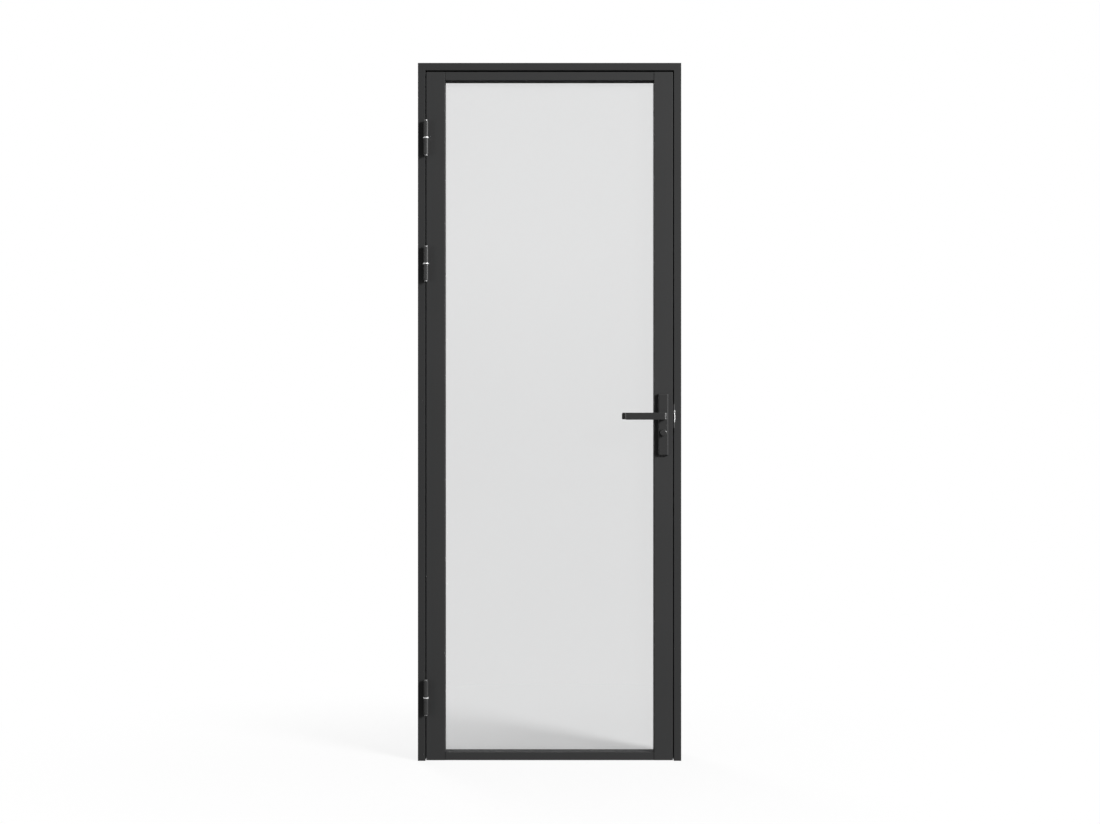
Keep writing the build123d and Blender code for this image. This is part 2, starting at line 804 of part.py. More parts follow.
# Setting blocks under the pane and location blocks at its sides
glass_span = (glass_y, glass_back_y)
with BuildPart() as setting_blocks:
    for side in (-1, 1):
        middle_x = side * (glass_x - block_end_distance)
        block(
            (middle_x - block_length / 2, middle_x + block_length / 2),
            glass_span,
            (pocket_bottom, glass_low),
        )
        for middle_z in (glass_low + block_end_distance, glass_high - block_end_distance):
            block(
                sorted((side * glass_x, side * pocket_x)),
                glass_span,
                (middle_z - block_length / 2, middle_z + block_length / 2),
            )
keep(setting_blocks, "setting_blocks")

# Lock case: a tray whose front wall has the two bolt openings
latch_z = (lever_height - latch_height / 2, lever_height + latch_height / 2)
bolt_z = (bolt_level - bolt_height / 2, bolt_level + bolt_height / 2)
follower_hole = follower_journal + running_clearance
crank_hole = crank_journal + running_clearance
with BuildPart() as lock_case:
    block((case_x, case_front), (-case_inner, case_y), (case_bottom, case_top))
    block(
        (case_x + case_wall, case_front - case_wall),
        (-case_inner - overrun, case_inner),
        (case_bottom + case_wall, case_top - case_wall),
        Mode.SUBTRACT,
    )
    for low, high in (latch_z, bolt_z):
        block(
            (case_front - case_wall - overrun, case_front + overrun),
            (-latch_thickness / 2 - slide_clearance, latch_thickness / 2 + slide_clearance),
            (low - slide_clearance, high + slide_clearance),
            Mode.SUBTRACT,
        )
    rod((lever_x, 0, lever_height), BACK, follower_hole, case_y + overrun, Mode.SUBTRACT)
    rod((lever_x, 0, turn_height), BACK, crank_hole, case_y + overrun, Mode.SUBTRACT)
keep(lock_case, "lock_case")

with BuildPart() as lock_case_cover:
    block((case_x, case_front), (-case_y, -case_inner), (case_bottom, case_top))
    rod((lever_x, 0, lever_height), FRONT, follower_hole, case_y + overrun, Mode.SUBTRACT)
    rod((lever_x, 0, turn_height), FRONT, crank_hole, case_y + overrun, Mode.SUBTRACT)
keep(lock_case_cover, "lock_case_cover")

# Faceplate, level with the leaf's edge, its screws and the clips that take them
with BuildPart() as lock_faceplate:
    block((case_front, edge_x), (-faceplate_width / 2, faceplate_width / 2), faceplate_z)
    for low, high in (latch_z, bolt_z):
        block(
            (case_front - overrun, edge_x + overrun),
            (-latch_thickness / 2 - slide_clearance, latch_thickness / 2 + slide_clearance),
            (low - slide_clearance, high + slide_clearance),
            Mode.SUBTRACT,
        )
    for height in faceplate_screw_heights:
        lock_screw_hole((edge_x, 0, height), LEFT, faceplate_thickness + overrun)
keep(lock_faceplate, "lock_faceplate")

with BuildPart() as faceplate_screws:
    for height in faceplate_screw_heights:
        countersunk((edge_x, 0, height), LEFT, screw_head_radius, screw_radius, faceplate_screw_length)
keep(faceplate_screws, "faceplate_screws")

clip_x = edge_x - leaf_wall
with BuildPart() as lock_mounting_clips:
    for height in faceplate_screw_heights:
        block(
            (clip_x - clip_thickness, clip_x),
            (-faceplate_width / 2, faceplate_width / 2),
            (height - clip_height / 2, height + clip_height / 2),
        )
        rod((clip_x, 0, height), LEFT, screw_radius + screw_clearance, clip_thickness, Mode.SUBTRACT)
keep(lock_mounting_clips, "lock_mounting_clips")

# Latch follower: a hub with a square hole and an arm that leans towards the latch at rest
arm_lean = radians(arm_rest_lean)
arm_way = (sin(arm_lean), 0, cos(arm_lean))
with BuildPart() as latch_follower:
    rod((lever_x, -case_y, lever_height), BACK, follower_journal, case_thickness)
    hub_half = case_inner - slide_clearance
    rod((lever_x, -hub_half, lever_height), BACK, follower_radius, hub_half * 2)
    with Locations(Plane(origin=(lever_x, 0, lever_height), x_dir=BACK, z_dir=arm_way)):
        Box(arm_thickness, arm_width, arm_tip, align=BASE)
    square_bar(
        (lever_x, -case_y - overrun, lever_height),
        BACK,
        spindle_side + square_clearance * 2,
        case_thickness + overrun * 2,
        Mode.SUBTRACT,
    )
keep(latch_follower, "latch_follower")

# Latch: a bevelled head, and a tail that reaches over the hub and hooks behind the arm
head_back = lever_x + follower_radius + slide_clearance + latch_throw
head_tip = edge_x + latch_throw
riser_end = case_front - case_wall - slide_clearance
tail_low = lever_height + follower_radius + slide_clearance
tail_top_low = lever_height + arm_tip + arm_room
tail_top = tail_top_low + tail_height
arm_side = arm_width / 2 / cos(arm_lean)
hook_face = lever_x + (tail_low - lever_height) * sin(arm_lean) / cos(arm_lean) - arm_side - arm_room
tail_y = (-tail_thickness / 2, tail_thickness / 2)
with BuildPart() as latch_bolt:
    with BuildSketch(Plane.XY.offset(latch_z[0])):
        with BuildLine():
            Polyline(
                (head_back, -latch_thickness / 2),
                (head_tip, -latch_thickness / 2),
                (head_tip, -latch_thickness / 2 + latch_nose),
                (edge_x + latch_nose, latch_thickness / 2),
                (head_back, latch_thickness / 2),
                close=True,
            )
        make_face()
    extrude(amount=latch_height)
    block((riser_end - riser_width, riser_end), tail_y, (lever_height, tail_top))
    block((hook_face - hook_width, riser_end), tail_y, (tail_top_low, tail_top))
    block((hook_face - hook_width, hook_face), tail_y, (tail_low, tail_top))
keep(latch_bolt, "latch_bolt")

# Latch spring: a bent strip between the case and the tail
spring_x = case_x + case_wall + spring_strip
spring_end_x = hook_face - hook_width - spring_strip
spring_top = case_top - case_wall - spring_strip
with BuildPart() as latch_spring:
    with BuildSketch(Plane.XZ.offset(-spring_width / 2)):
        with BuildLine() as strip:
            FilletPolyline(
                (spring_x, tail_top),
                (spring_x, spring_top),
                (spring_end_x, tail_top + tail_height),
                (spring_end_x, tail_top - tail_height),
                radius=spring_bend,
            )
        trace(strip.line, line_width=spring_strip)
    extrude(amount=spring_width)
keep(latch_spring, "latch_spring")

# Crank of the dead bolt, turned back by half its travel, with a pin that stands in the bolt's fork
crank_lean = radians(crank_turn / 2)
pin_x = lever_x - crank_arm * sin(crank_lean)
pin_z = turn_height + crank_arm * cos(crank_lean)
crank_front = -case_inner + slide_clearance
with BuildPart() as bolt_crank:
    rod((lever_x, -case_y, turn_height), BACK, crank_journal, case_thickness)
    with BuildSketch(Plane.XZ.offset(0)):
        with Locations((lever_x, turn_height)):
            Circle(crank_radius)
        with Locations((pin_x, pin_z)):
            Circle(crank_pin_radius + crank_pin_collar)
        make_hull()
    extrude(amount=-crank_front)
    rod((pin_x, 0, pin_z), BACK, crank_pin_radius, bolt_tail_gap + bolt_tail_thickness)
    square_bar(
        (lever_x, -case_y - overrun, turn_height),
        BACK,
        shaft_side + square_clearance * 2,
        case_thickness + overrun * 2,
        Mode.SUBTRACT,
    )
keep(bolt_crank, "bolt_crank")

# Dead bolt: drawn back level with the faceplate, with a forked tail over the crank pin
bolt_front = edge_x - bolt_setback
slot_half = crank_pin_radius + crank_slot_room
fork_low = turn_height + crank_journal + slide_clearance * 2
bolt_back = pin_x + slot_half + bolt_throw
tail_span = (bolt_tail_gap, bolt_tail_gap + bolt_tail_thickness)
with BuildPart() as dead_bolt:
    block((bolt_back, bolt_front), (-bolt_thickness / 2, bolt_thickness / 2), bolt_z)
    block((pin_x - slot_half - fork_wall, bolt_back), tail_span, (fork_low, bolt_z[1]))
    slot_top = turn_height + crank_arm + crank_pin_radius + crank_slot_room
    block(
        (pin_x - slot_half, pin_x + slot_half),
        (0, bolt_thickness),
        (fork_low - overrun, slot_top),
        Mode.SUBTRACT,
    )
keep(dead_bolt, "dead_bolt")


def handle_plate(piece, side):
    """Back plate of the lever set with softly rounded edges; side is -1 in front and 1 behind."""
    face_y = side * leaf_thickness / 2
    way = (0, side, 0)
    middle = (lever_x, face_y, (plate_top + plate_bottom) / 2)
    with BuildSketch(Plane(origin=middle, x_dir=RIGHT, z_dir=way)) as outline:
        RectangleRounded(plate_width, plate_top - plate_bottom, plate_corner)
    extrude(outline.sketch, amount=plate_thickness)
    outer_face = piece.faces().sort_by(Axis.Y)[0 if side < 0 else -1]
    fillet(outer_face.edges(), radius=plate_edge)
    hole_start = face_y - side * overrun
    hole_length = plate_thickness + overrun * 2
    rod((lever_x, hole_start, lever_height), way, neck_radius + neck_clearance, hole_length, Mode.SUBTRACT)
    turn_hole = turn_neck_radius + neck_clearance
    rod((lever_x, hole_start, turn_height), way, turn_hole, hole_length, Mode.SUBTRACT)


# Handle plates, held to each other through the stile by two bolts
plate_bolt_hole = plate_bolt_radius + screw_clearance
with BuildPart() as front_handle_plate:
    handle_plate(front_handle_plate, -1)
    for height in plate_bolt_heights:
        rod((lever_x, front_y, height), FRONT, plate_bolt_hole, plate_bolt_seat, Mode.SUBTRACT)
keep(front_handle_plate, "front_handle_plate")
rear_plate_y = rear_y + plate_thickness
with BuildPart() as rear_handle_plate:
    handle_plate(rear_handle_plate, 1)
    for height in plate_bolt_heights:
        countersunk(
            (lever_x, rear_plate_y, height),
            FRONT,
            plate_bolt_head + screw_clearance,
            plate_bolt_hole,
            plate_thickness + overrun,
            Mode.SUBTRACT,
        )
keep(rear_handle_plate, "rear_handle_plate")

plate_bolt_length = rear_plate_y - front_y + plate_bolt_seat - screw_clearance
with BuildPart() as handle_plate_bolts:
    for height in plate_bolt_heights:
        countersunk(
            (lever_x, rear_plate_y, height), FRONT, plate_bolt_head, plate_bolt_radius, plate_bolt_length
        )
keep(handle_plate_bolts, "handle_plate_bolts")

# Levers: a flat bar bent once into its neck, with a round collar that enters the plate
grip_low = lever_height - grip_height / 2
grub_y = rear_y + plate_thickness + grub_stand
collar_y = rear_y + plate_thickness + collar_stand
collar_length = collar_stand + neck_engagement


def lever(piece, side):
    """Lever in front (side -1) or behind (side 1), its bar pointing away from the lock edge."""
    tip_x = lever_x - lever_reach
    heel_x = lever_x + neck_radius
    outer = side * (rear_y + lever_stand)
    inner = side * (rear_y + lever_stand - grip_thickness)
    with BuildSketch(Plane.XY.offset(grip_low)) as plan:
        with BuildLine():
            Polyline(
                (tip_x, outer),
                (heel_x, outer),
                (heel_x, side * collar_y),
                (lever_x - neck_radius, side * collar_y),
                (lever_x - neck_radius, inner),
                (tip_x, inner),
                close=True,
            )
        make_face()
        corners = plan.vertices().sort_by(Axis.X)
        heel = max(corners[-2:], key=lambda corner: abs(corner.Y))
        bend = max(corners[2:4], key=lambda corner: abs(corner.Y))
        fillet(heel, radius=heel_round)
        fillet(bend, radius=inner_bend)
        tip = max(plan.vertices().group_by(Axis.X)[0], key=lambda corner: abs(corner.Y))
        fillet(tip, radius=tip_front_round)
    extrude(plan.sketch, amount=grip_height)
    with BuildSketch(Plane.XZ) as face:
        with Locations((tip_x, grip_low)):
            Rectangle(heel_x - tip_x, grip_height, align=Align.MIN)
        fillet(face.vertices().group_by(Axis.X)[0], radius=tip_corner_round)
    extrude(face.sketch, amount=abs(outer), both=True, mode=Mode.INTERSECT)
    rims = piece.faces().filter_by(Axis.Z).edges()
    fillet(rims, radius=grip_edge)
    way = (0, -side, 0)
    rod((lever_x, side * collar_y, lever_height), way, neck_radius, collar_length)
    hole_side = spindle_side + square_clearance * 2
    hole_start = (lever_x, side * (collar_y - collar_length - overrun), lever_height)
    hole_length = spindle_half + square_clearance - collar_y + collar_length + overrun
    square_bar(hole_start, (0, side, 0), hole_side, hole_length, Mode.SUBTRACT)
    grub_start = (lever_x, side * grub_y, grip_low - overrun)
    rod(grub_start, UP, grub_radius + screw_clearance, grip_height / 2 + overrun, Mode.SUBTRACT)


with BuildPart() as front_lever:
    lever(front_lever, -1)
keep(front_lever, "front_lever")
with BuildPart() as rear_lever:
    lever(rear_lever, 1)
keep(rear_lever, "rear_lever")

# Square spindle through both levers and the follower, and the grub screws that hold the levers on it
with BuildPart() as lever_spindle:
    square_bar((lever_x, -spindle_half, lever_height), BACK, spindle_side, spindle_half * 2)
keep(lever_spindle, "lever_spindle")
with BuildPart() as lever_grub_screws:
    for side in (-1, 1):
        grub_top = lever_height - spindle_side / 2
        rod((lever_x, side * grub_y, grub_top), DOWN, grub_radius, grub_length)
keep(lever_grub_screws, "lever_grub_screws")

# Turn knob with its square shaft, and the coin release on the shaft's other end
turn_face = front_y - plate_thickness - turn_gap
release_face = rear_y + plate_thickness + turn_gap
with BuildPart() as turn_knob:
    rod((lever_x, turn_face, turn_height), FRONT, knob_radius, knob_height)
    rim = turn_knob.edges().filter_by(GeomType.CIRCLE).sort_by(Axis.Y)[0]
    fillet(rim, radius=knob_edge)
    rod((lever_x, turn_face, turn_height), BACK, turn_neck_radius, turn_neck_length)
    square_bar((lever_x, turn_face, turn_height), BACK, shaft_side, release_face - turn_face)
keep(turn_knob, "turn_knob")
with BuildPart() as coin_release:
    rod((lever_x, release_face, turn_height), BACK, release_radius, release_height)
    rod((lever_x, release_face, turn_height), FRONT, turn_neck_radius, turn_neck_length)
    slot_y = release_face + release_height
    block(
        (lever_x - coin_slot_width / 2, lever_x + coin_slot_width / 2),
        (slot_y - coin_slot_depth, slot_y + overrun),
        (turn_height - release_radius, turn_height + release_radius),
        Mode.SUBTRACT,
    )
    shaft_hole = shaft_side + square_clearance * 2
    shaft_end = (lever_x, release_face, turn_height)
    square_bar(shaft_end, FRONT, shaft_hole, turn_neck_length + overrun, Mode.SUBTRACT)
keep(coin_release, "coin_release")
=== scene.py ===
import math

import bpy
import numpy as np
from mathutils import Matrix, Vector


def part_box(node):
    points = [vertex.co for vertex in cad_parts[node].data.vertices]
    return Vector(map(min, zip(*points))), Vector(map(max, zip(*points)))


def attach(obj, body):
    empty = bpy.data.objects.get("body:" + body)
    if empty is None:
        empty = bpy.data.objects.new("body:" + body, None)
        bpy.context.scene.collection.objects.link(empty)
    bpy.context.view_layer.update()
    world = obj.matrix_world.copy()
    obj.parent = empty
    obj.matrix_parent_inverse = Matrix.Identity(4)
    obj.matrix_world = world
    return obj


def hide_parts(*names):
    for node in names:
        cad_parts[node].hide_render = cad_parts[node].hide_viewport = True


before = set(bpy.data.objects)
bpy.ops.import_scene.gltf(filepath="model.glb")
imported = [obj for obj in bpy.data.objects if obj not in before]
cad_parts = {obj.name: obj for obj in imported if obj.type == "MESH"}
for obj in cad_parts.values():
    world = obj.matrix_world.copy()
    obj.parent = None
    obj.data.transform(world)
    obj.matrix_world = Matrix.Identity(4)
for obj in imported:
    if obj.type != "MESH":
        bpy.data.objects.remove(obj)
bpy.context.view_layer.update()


# Frame profiles: the two jambs and the header, hollow aluminium extrusions mitred at the top corners
# and finished in a satin near-black powder coat. They are bolted to the wall through the jambs.
class Shade:
    """A socket in a node tree. An expression on it adds its Math nodes."""

    def __init__(self, tree, out=None):
        self.tree = tree
        self.out = out

    def add(self, kind, settings=None, sockets=None, take=0):
        """Adds any node: its settings first, then the values or links of its sockets."""
        node = self.tree.nodes.new("ShaderNode" + kind)
        for name, value in (settings or {}).items():
            setattr(node, name, value)
        for name, value in (sockets or {}).items():
            self.feed(node.inputs[name], value)
        return Shade(self.tree, node.outputs[take])

    def feed(self, target, value):
        """Links a shade to a socket, or writes a plain value on it."""
        if isinstance(value, Shade):
            self.tree.links.new(value.out, target)
        else:
            target.default_value = value

    def maths(self, operation, first, second):
        """A Math node on two values, either of which may be a plain number."""
        return self.add("Math", {"operation": operation}, {0: first, 1: second})

    def __add__(self, other):
        return self.maths("ADD", self, other)

    def __sub__(self, other):
        return self.maths("SUBTRACT", self, other)

    def __rsub__(self, other):
        return self.maths("SUBTRACT", other, self)

    def __mul__(self, other):
        return self.maths("MULTIPLY", self, other)

    __radd__ = __add__
    __rmul__ = __mul__

    def __abs__(self):
        return self.maths("ABSOLUTE", self, 0.0)

    def capped(self):
        """This value, or 1 where it is more."""
        return self.maths("MINIMUM", self, 1.0)

    def along(self, axis):
        """The value of these coordinates along one axis."""
        return self.add("SeparateXYZ", {}, {"Vector": self}, axis)

    def stretched(self, scale):
        """These coordinates multiplied by a scale along each axis."""
        return self.add("Mapping", {}, {"Vector": self, "Scale": scale})

    def noise(self, cells, detail=2.0, roughness=0.5):
        """Soft noise between 0 and 1, with so many cells to the metre."""
        sockets = {"Vector": self, "Scale": cells, "Detail": detail, "Roughness": roughness}
        return self.add("TexNoise", {}, sockets, "Fac")

    def ramp(self, low, high):
        """0 below low, 1 above high and a smooth step between them."""
        settings = {"interpolation_type": "SMOOTHSTEP"}
        return self.add("MapRange", settings, {"Value": self, "From Min": low, "From Max": high}, "Result")

    def between(self, first, second):
        """The first colour where this is 0 and the second where it is 1.

        The node's colour sockets share their names with others, so they are given by number.
        """
        return self.add("Mix", {"data_type": "RGBA"}, {0: self, 6: first, 7: second}, 2)


def grey(value, tint=0.0):
    """A near-neutral colour, cooler by a tint."""
    return (value * (1 - tint), value, value * (1 + tint), 1)


def finish(name, **constants):
    """A new material with constants on its shader, and the coordinates of the object that wears it."""
    material = bpy.data.materials.new(name)
    material.use_nodes = True
    tree = material.node_tree
    for socket, value in constants.items():
        tree.nodes["Principled BSDF"].inputs[socket.replace("_", " ")].default_value = value
    return material, Shade(tree).add("TexCoord", take="Object")


def relief(place, height, strength, depth):
    """A normal bent by a height that stands for a relief of the given depth in metres."""
    return place.add("Bump", {}, {"Height": height, "Strength": strength, "Distance": depth})


def vary(material, colour, roughness, normal):
    """Feeds what changes over the surface to a material's shader."""
    shader = material.node_tree.nodes["Principled BSDF"]
    for socket, value in (("Base Color", colour), ("Roughness", roughness), ("Normal", normal)):
        value.feed(shader.inputs[socket], value)
    return material


def dress(material, *pieces):
    """Gives a material to CAD nodes."""
    for piece in pieces:
        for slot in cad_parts[piece].material_slots:
            slot.material = material


def powder_coat(name, dark, light, roughness, gloss, joints=None):
    """Baked powder: a fine orange peel, a finer grain in it and a slow drift in tone along the bar.

    Where a function for the bar's joints is given, the coat is darkened to near black at the hairlines
    that it marks: painted shade of the gap at each joint.
    """
    blue_tint = 0.006
    joint_shade_share = 0.15
    material, place = finish(name, Specular_IOR_Level=gloss)
    peel = place.noise(cells=420.0)
    grain = place.noise(cells=1900.0, detail=3.0)
    drift = place.noise(cells=2.6, detail=1.0)
    coat = (drift * 0.6 + grain * 0.4).between(grey(dark, blue_tint), grey(light, blue_tint))
    # Painted shade: the coat goes near black on each joint's hairline, where the gap between rail and
    # stile lies in shade.
    if joints:
        coat = joints(place).between(coat, grey(dark * joint_shade_share))
    dulled = roughness - 0.07 + grain * 0.1 + drift * 0.06
    skin = relief(place, peel * 0.7 + grain * 0.3, strength=0.12, depth=0.0002)
    return vary(material, coat, dulled, skin)


frame_coat = powder_coat("frame_powder_coat", dark=0.031, light=0.038, roughness=0.52, gloss=0.06)
dress(frame_coat, "hinge_jamb", "lock_jamb", "frame_header")


# Corner cleats and rail connectors: sawn pieces of bare aluminium angle and bar inside the profiles.
# They are pressed or screwed in where two profiles meet, out of sight.
def bare_metal(name, value, roughness, run, tint=0.0):
    """Uncoated metal with fine lines of extruding, turning or brushing.

    The run gives the lines to the metre along each axis, so they lie along the axes with the fewest.
    """
    material, place = finish(name, Metallic=1.0)
    lines = place.stretched(run).noise(cells=1.0, detail=3.0, roughness=0.6)
    cloud = place.noise(cells=60.0)
    metal = lines.between(grey(value * 0.86, tint), grey(value * 1.08, tint))
    dulled = roughness - 0.1 + lines * 0.12 + cloud * 0.08
    return vary(material, metal, dulled, relief(place, lines, strength=0.16, depth=0.0001))


extruded_run = (700.0, 700.0, 90.0)
mill_aluminium = bare_metal("mill_finish_aluminium", 0.6, 0.42, extruded_run, tint=0.01)
dress(mill_aluminium, "corner_cleats", "rail_connectors")


# Stop seals: three D-shaped strips of black rubber, pushed into the stop of the frame.
# The closed leaf presses against them.
def rubber(name, value, roughness):
    """Moulded rubber: a dull skin with a fine grain and a little bloom."""
    material, place = finish(name, Specular_IOR_Level=0.3)
    grain = place.noise(cells=2600.0)
    bloom = place.noise(cells=24.0)
    skin = bloom.between(grey(value * 0.8), grey(value * 1.3))
    dulled = roughness - 0.08 + grain * 0.1 + bloom * 0.06
    return vary(material, skin, dulled, relief(place, grain, strength=0.2, depth=0.00015))


seal_rubber = rubber("seal_rubber", value=0.012, roughness=0.72)
dress(seal_rubber, "hinge_side_seal", "lock_side_seal", "head_seal")


# Strike: a pressed steel plate let into the lock jamb, its lip curled round the edge of the jamb.
# The coating is rubbed grey where the latch sweeps it and gone on the lip. Two flat-headed screws
# hold it to a zinc-plated plate inside the jamb.
lip_height = 1.047
lip_edge = 0.3774
lip_fray = 0.0008
bared_reach = 0.018
swept_reach = 0.036


def struck_steel(name):
    """Blackened steel, greyer within the latch's sweep and bare over the lip, with ragged borders."""
    material, place = finish(name, Metallic=1.0)
    lines = place.stretched((900.0, 900.0, 40.0)).noise(cells=1.0, detail=3.0, roughness=0.6)
    ragged = place.noise(cells=340.0) - 0.5
    from_middle = abs(place.along("Z") - lip_height)

    def within(reach, fray, fade):
        """1 up to a reach above and below the lip's middle, with a border frayed and faded in metres."""
        return 1 - (from_middle + ragged * fray).ramp(reach - fade, reach + fade)

    over_edge = (place.along("X") + ragged * lip_fray).ramp(lip_edge, lip_edge + lip_fray)
    bared = over_edge * within(bared_reach, fray=0.004, fade=0.001)
    swept = within(swept_reach, fray=0.006, fade=0.002)
    black = lines.between(grey(0.055), grey(0.08))
    rubbed = lines.between(grey(0.24), grey(0.32))
    bare = lines.between(grey(0.72), grey(0.9))
    steel = bared.between(swept.between(black, rubbed), bare)
    dulled = 0.36 - bared * 0.08 + lines * 0.08
    return vary(material, steel, dulled, relief(place, lines, strength=0.1, depth=0.0001))


def plated(name, value, roughness):
    """Zinc plating: a fine crystal pattern of brighter and duller grains under a thin haze."""
    blue_tint = 0.02
    material, place = finish(name, Metallic=1.0)
    cells = place.add("TexVoronoi", {"feature": "F1"}, {"Vector": place, "Scale": 900.0}, "Color")
    crystal = cells.add("RGBToBW", {}, {"Color": cells})
    haze = place.noise(cells=90.0)
    zinc = crystal.between(grey(value * 0.8, blue_tint), grey(value * 1.1, blue_tint))
    dulled = roughness - 0.08 + crystal * 0.08 + haze * 0.1
    skin = relief(place, crystal * 0.4 + haze * 0.6, strength=0.08, depth=0.0001)
    return vary(material, zinc, dulled, skin)


dress(struck_steel("strike_steel"), "strike_plate")
zinc_plate = plated("zinc_plating", value=0.5, roughness=0.36)
dress(zinc_plate, "strike_backing_plate")


def ring_quads(rings, columns):
    """Quads from each ring of points to the next, each ring closed on itself."""
    row, column = np.meshgrid(np.arange(rings - 1), np.arange(columns), indexing="ij")
    here, there = row * columns, (row + 1) * columns
    after = (column + 1) % columns
    return np.stack([here + column, there + column, there + after, here + after], -1).reshape(-1, 4)


def ring_fan(ring, middle):
    """Triangles from each side of a ring of points to the point in its middle."""
    return np.stack([ring, np.roll(ring, -1), np.full(len(ring), middle)], -1)


def screw_surface(head, shank, length, socket, socket_depth, pitch):
    """Flat-headed screw with a hexagon socket, as rows of rings round its axis, which runs down -Z.

    The rings go from the middle of the socket floor up its wall, over the head, down the cone and along
    the shank, whose radius follows a cosine of depth over pitch minus the angle, which makes the thread.
    """
    columns = 48
    thread_rows = 60
    thread_depth = 0.00032
    run_in_turns = 2
    edge = 0.00012
    point_length = shank * 0.5
    point_radius = shank * 0.6
    angle = np.linspace(0, 2 * np.pi, columns, endpoint=False)
    facet = socket / np.cos((angle % (np.pi / 3)) - np.pi / 6)
    ones = np.ones(columns)
    cone = head - shank
    rows = [
        (facet * 0.5, ones * -socket_depth),
        (facet, ones * -socket_depth),
        (facet, ones * -edge),
        (facet + edge, ones * 0.0),
        (ones * (head - edge), ones * 0.0),
        (ones * head, ones * -edge),
        (ones * shank, ones * -(cone + edge)),
    ]
    depth = np.linspace(cone + edge * 2, length - point_length, thread_rows)
    ridge = 0.5 - 0.5 * np.cos(2 * np.pi * depth[:, None] / pitch - angle)
    run_in = np.clip((depth - depth[0]) / (pitch * run_in_turns), 0, 1)[:, None]
    thread = shank - thread_depth * ridge * run_in
    rows += [(radius, ones * -down) for radius, down in zip(thread, depth)]
    rows.append((ones * point_radius, ones * -length))
    radius, height = np.array(rows).transpose(1, 0, 2)
    rings = np.stack([radius * np.cos(angle), radius * np.sin(angle), height], -1).reshape(-1, 3)
    points = np.concatenate([rings, [[0, 0, -socket_depth], [0, 0, -length]]])
    first_ring = np.arange(columns)
    last_ring = first_ring + (len(rows) - 1) * columns
    socket_floor = ring_fan(first_ring, len(rings))
    tip = ring_fan(last_ring, len(rings) + 1)[:, [1, 0, 2]]
    return points, ring_quads(len(rows), columns), np.concatenate([socket_floor, tip])


def new_object(name, data):
    """A new object in the scene, at the origin."""
    made = bpy.data.objects.new(name, data)
    bpy.context.scene.collection.objects.link(made)
    return made


def screw_set(name, node, body, seats, way, **sizes):
    """Screws at their seats, all pointing one way into the work, as one piece in place of a CAD node."""
    slanted = (0.3, 0.5, 0.8)
    sharp_angle = math.radians(35)
    points, quads, fans = screw_surface(**sizes)
    axis = -np.array(way, float)
    side = np.cross(axis, slanted)
    side /= np.linalg.norm(side)
    turn = np.stack([side, np.cross(axis, side), axis])
    placed = (points @ turn)[None] + np.array(seats, float)[:, None]
    step = (np.arange(len(seats)) * len(points))[:, None, None]
    faces = (quads[None] + step).reshape(-1, 4).tolist() + (fans[None] + step).reshape(-1, 3).tolist()
    mesh = bpy.data.meshes.new(name)
    mesh.from_pydata(placed.reshape(-1, 3).tolist(), [], faces)
    mesh.shade_smooth()
    mesh.set_sharp_from_angle(angle=sharp_angle)
    mesh.materials.append(zinc_plate)
    piece = new_object(name, mesh)
    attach(piece, body)
    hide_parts(node)


lock_screw = dict(head=0.0044, shank=0.0025, socket=0.00145, socket_depth=0.0016, pitch=0.0009)
lock_screw_length = 0.009
strike_face_x = 0.3775
strike_screw_levels = (0.9825, 1.0865)
strike_seats = [(strike_face_x, 0, level) for level in strike_screw_levels]
screw_set(
    "strike_socket_screws", "strike_screws", "frame", strike_seats, (1, 0, 0),
    length=lock_screw_length, **lock_screw,
)


# Hinges: three hinges of blackened steel, each a frame flap and a door flap let into the profiles.
# A capped pin joins their square knuckles over a bright washer, and plates inside take the screws.
def blackened_steel(name, dark, light, roughness):
    """Steel under a thin black coat: fine turning lines, and a tone that is a little uneven."""
    material, place = finish(name, Specular_IOR_Level=0.34)
    lines = place.stretched((60.0, 60.0, 1500.0)).noise(cells=1.0)
    cloud = place.noise(cells=70.0)
    black = (cloud * 0.6 + lines * 0.4).between(grey(dark), grey(light))
    dulled = roughness - 0.06 + lines * 0.06 + cloud * 0.06
    skin = relief(place, lines * 0.6 + cloud * 0.4, strength=0.08, depth=0.0001)
    return vary(material, black, dulled, skin)


turned_run = (80.0, 80.0, 2600.0)
hinge_steel = blackened_steel("hinge_black_steel", dark=0.03, light=0.037, roughness=0.48)
washer_steel = bare_metal("turned_bright_steel", 0.76, 0.62, turned_run)
pin_steel = bare_metal("dull_pin_steel", 0.42, 0.5, turned_run)
hinge_levels = {"top": 1.89, "upper": 1.509, "bottom": 0.195}
for which in hinge_levels:
    dress(hinge_steel, which + "_hinge_frame_flap", which + "_hinge_door_flap")
    dress(pin_steel, which + "_hinge_pin")
    dress(washer_steel, which + "_hinge_washer")
dress(zinc_plate, "hinge_frame_backing_plates", "hinge_door_backing_plates")

flap_screw_pitch = 0.036
flap_screw_y = -0.009
flap_screw_length = 0.014
frame_flap_x = -0.3765
door_flap_x = -0.3755
flap_screw_levels = [
    level + step * flap_screw_pitch for level in hinge_levels.values() for step in (-1, 0, 1)
]
for flap, body, face_x, way in (
    ("hinge_frame", "frame", frame_flap_x, (-1, 0, 0)),
    ("hinge_door", "leaf", door_flap_x, (1, 0, 0)),
):
    flap_seats = [(face_x, flap_screw_y, level) for level in flap_screw_levels]
    screw_set(
        flap + "_socket_screws", flap + "_screws", body, flap_seats, way,
        length=flap_screw_length, **lock_screw,
    )


# Leaf profiles: two stiles and two rails, slim hollow extrusions with a glazing rebate at the back,
# butted and screwed together, in the same powder coat as the frame from another batch.
# The rails' coat carries painted shade on a hairline at each end, where the joint's gap is.
joint_line = 0.0016
joint_edge = joint_line / 4
front_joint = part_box("lock_stile")[0][0]
rear_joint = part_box("top_rail")[1][0]
bedding_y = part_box("front_glazing_gasket")[0][1]


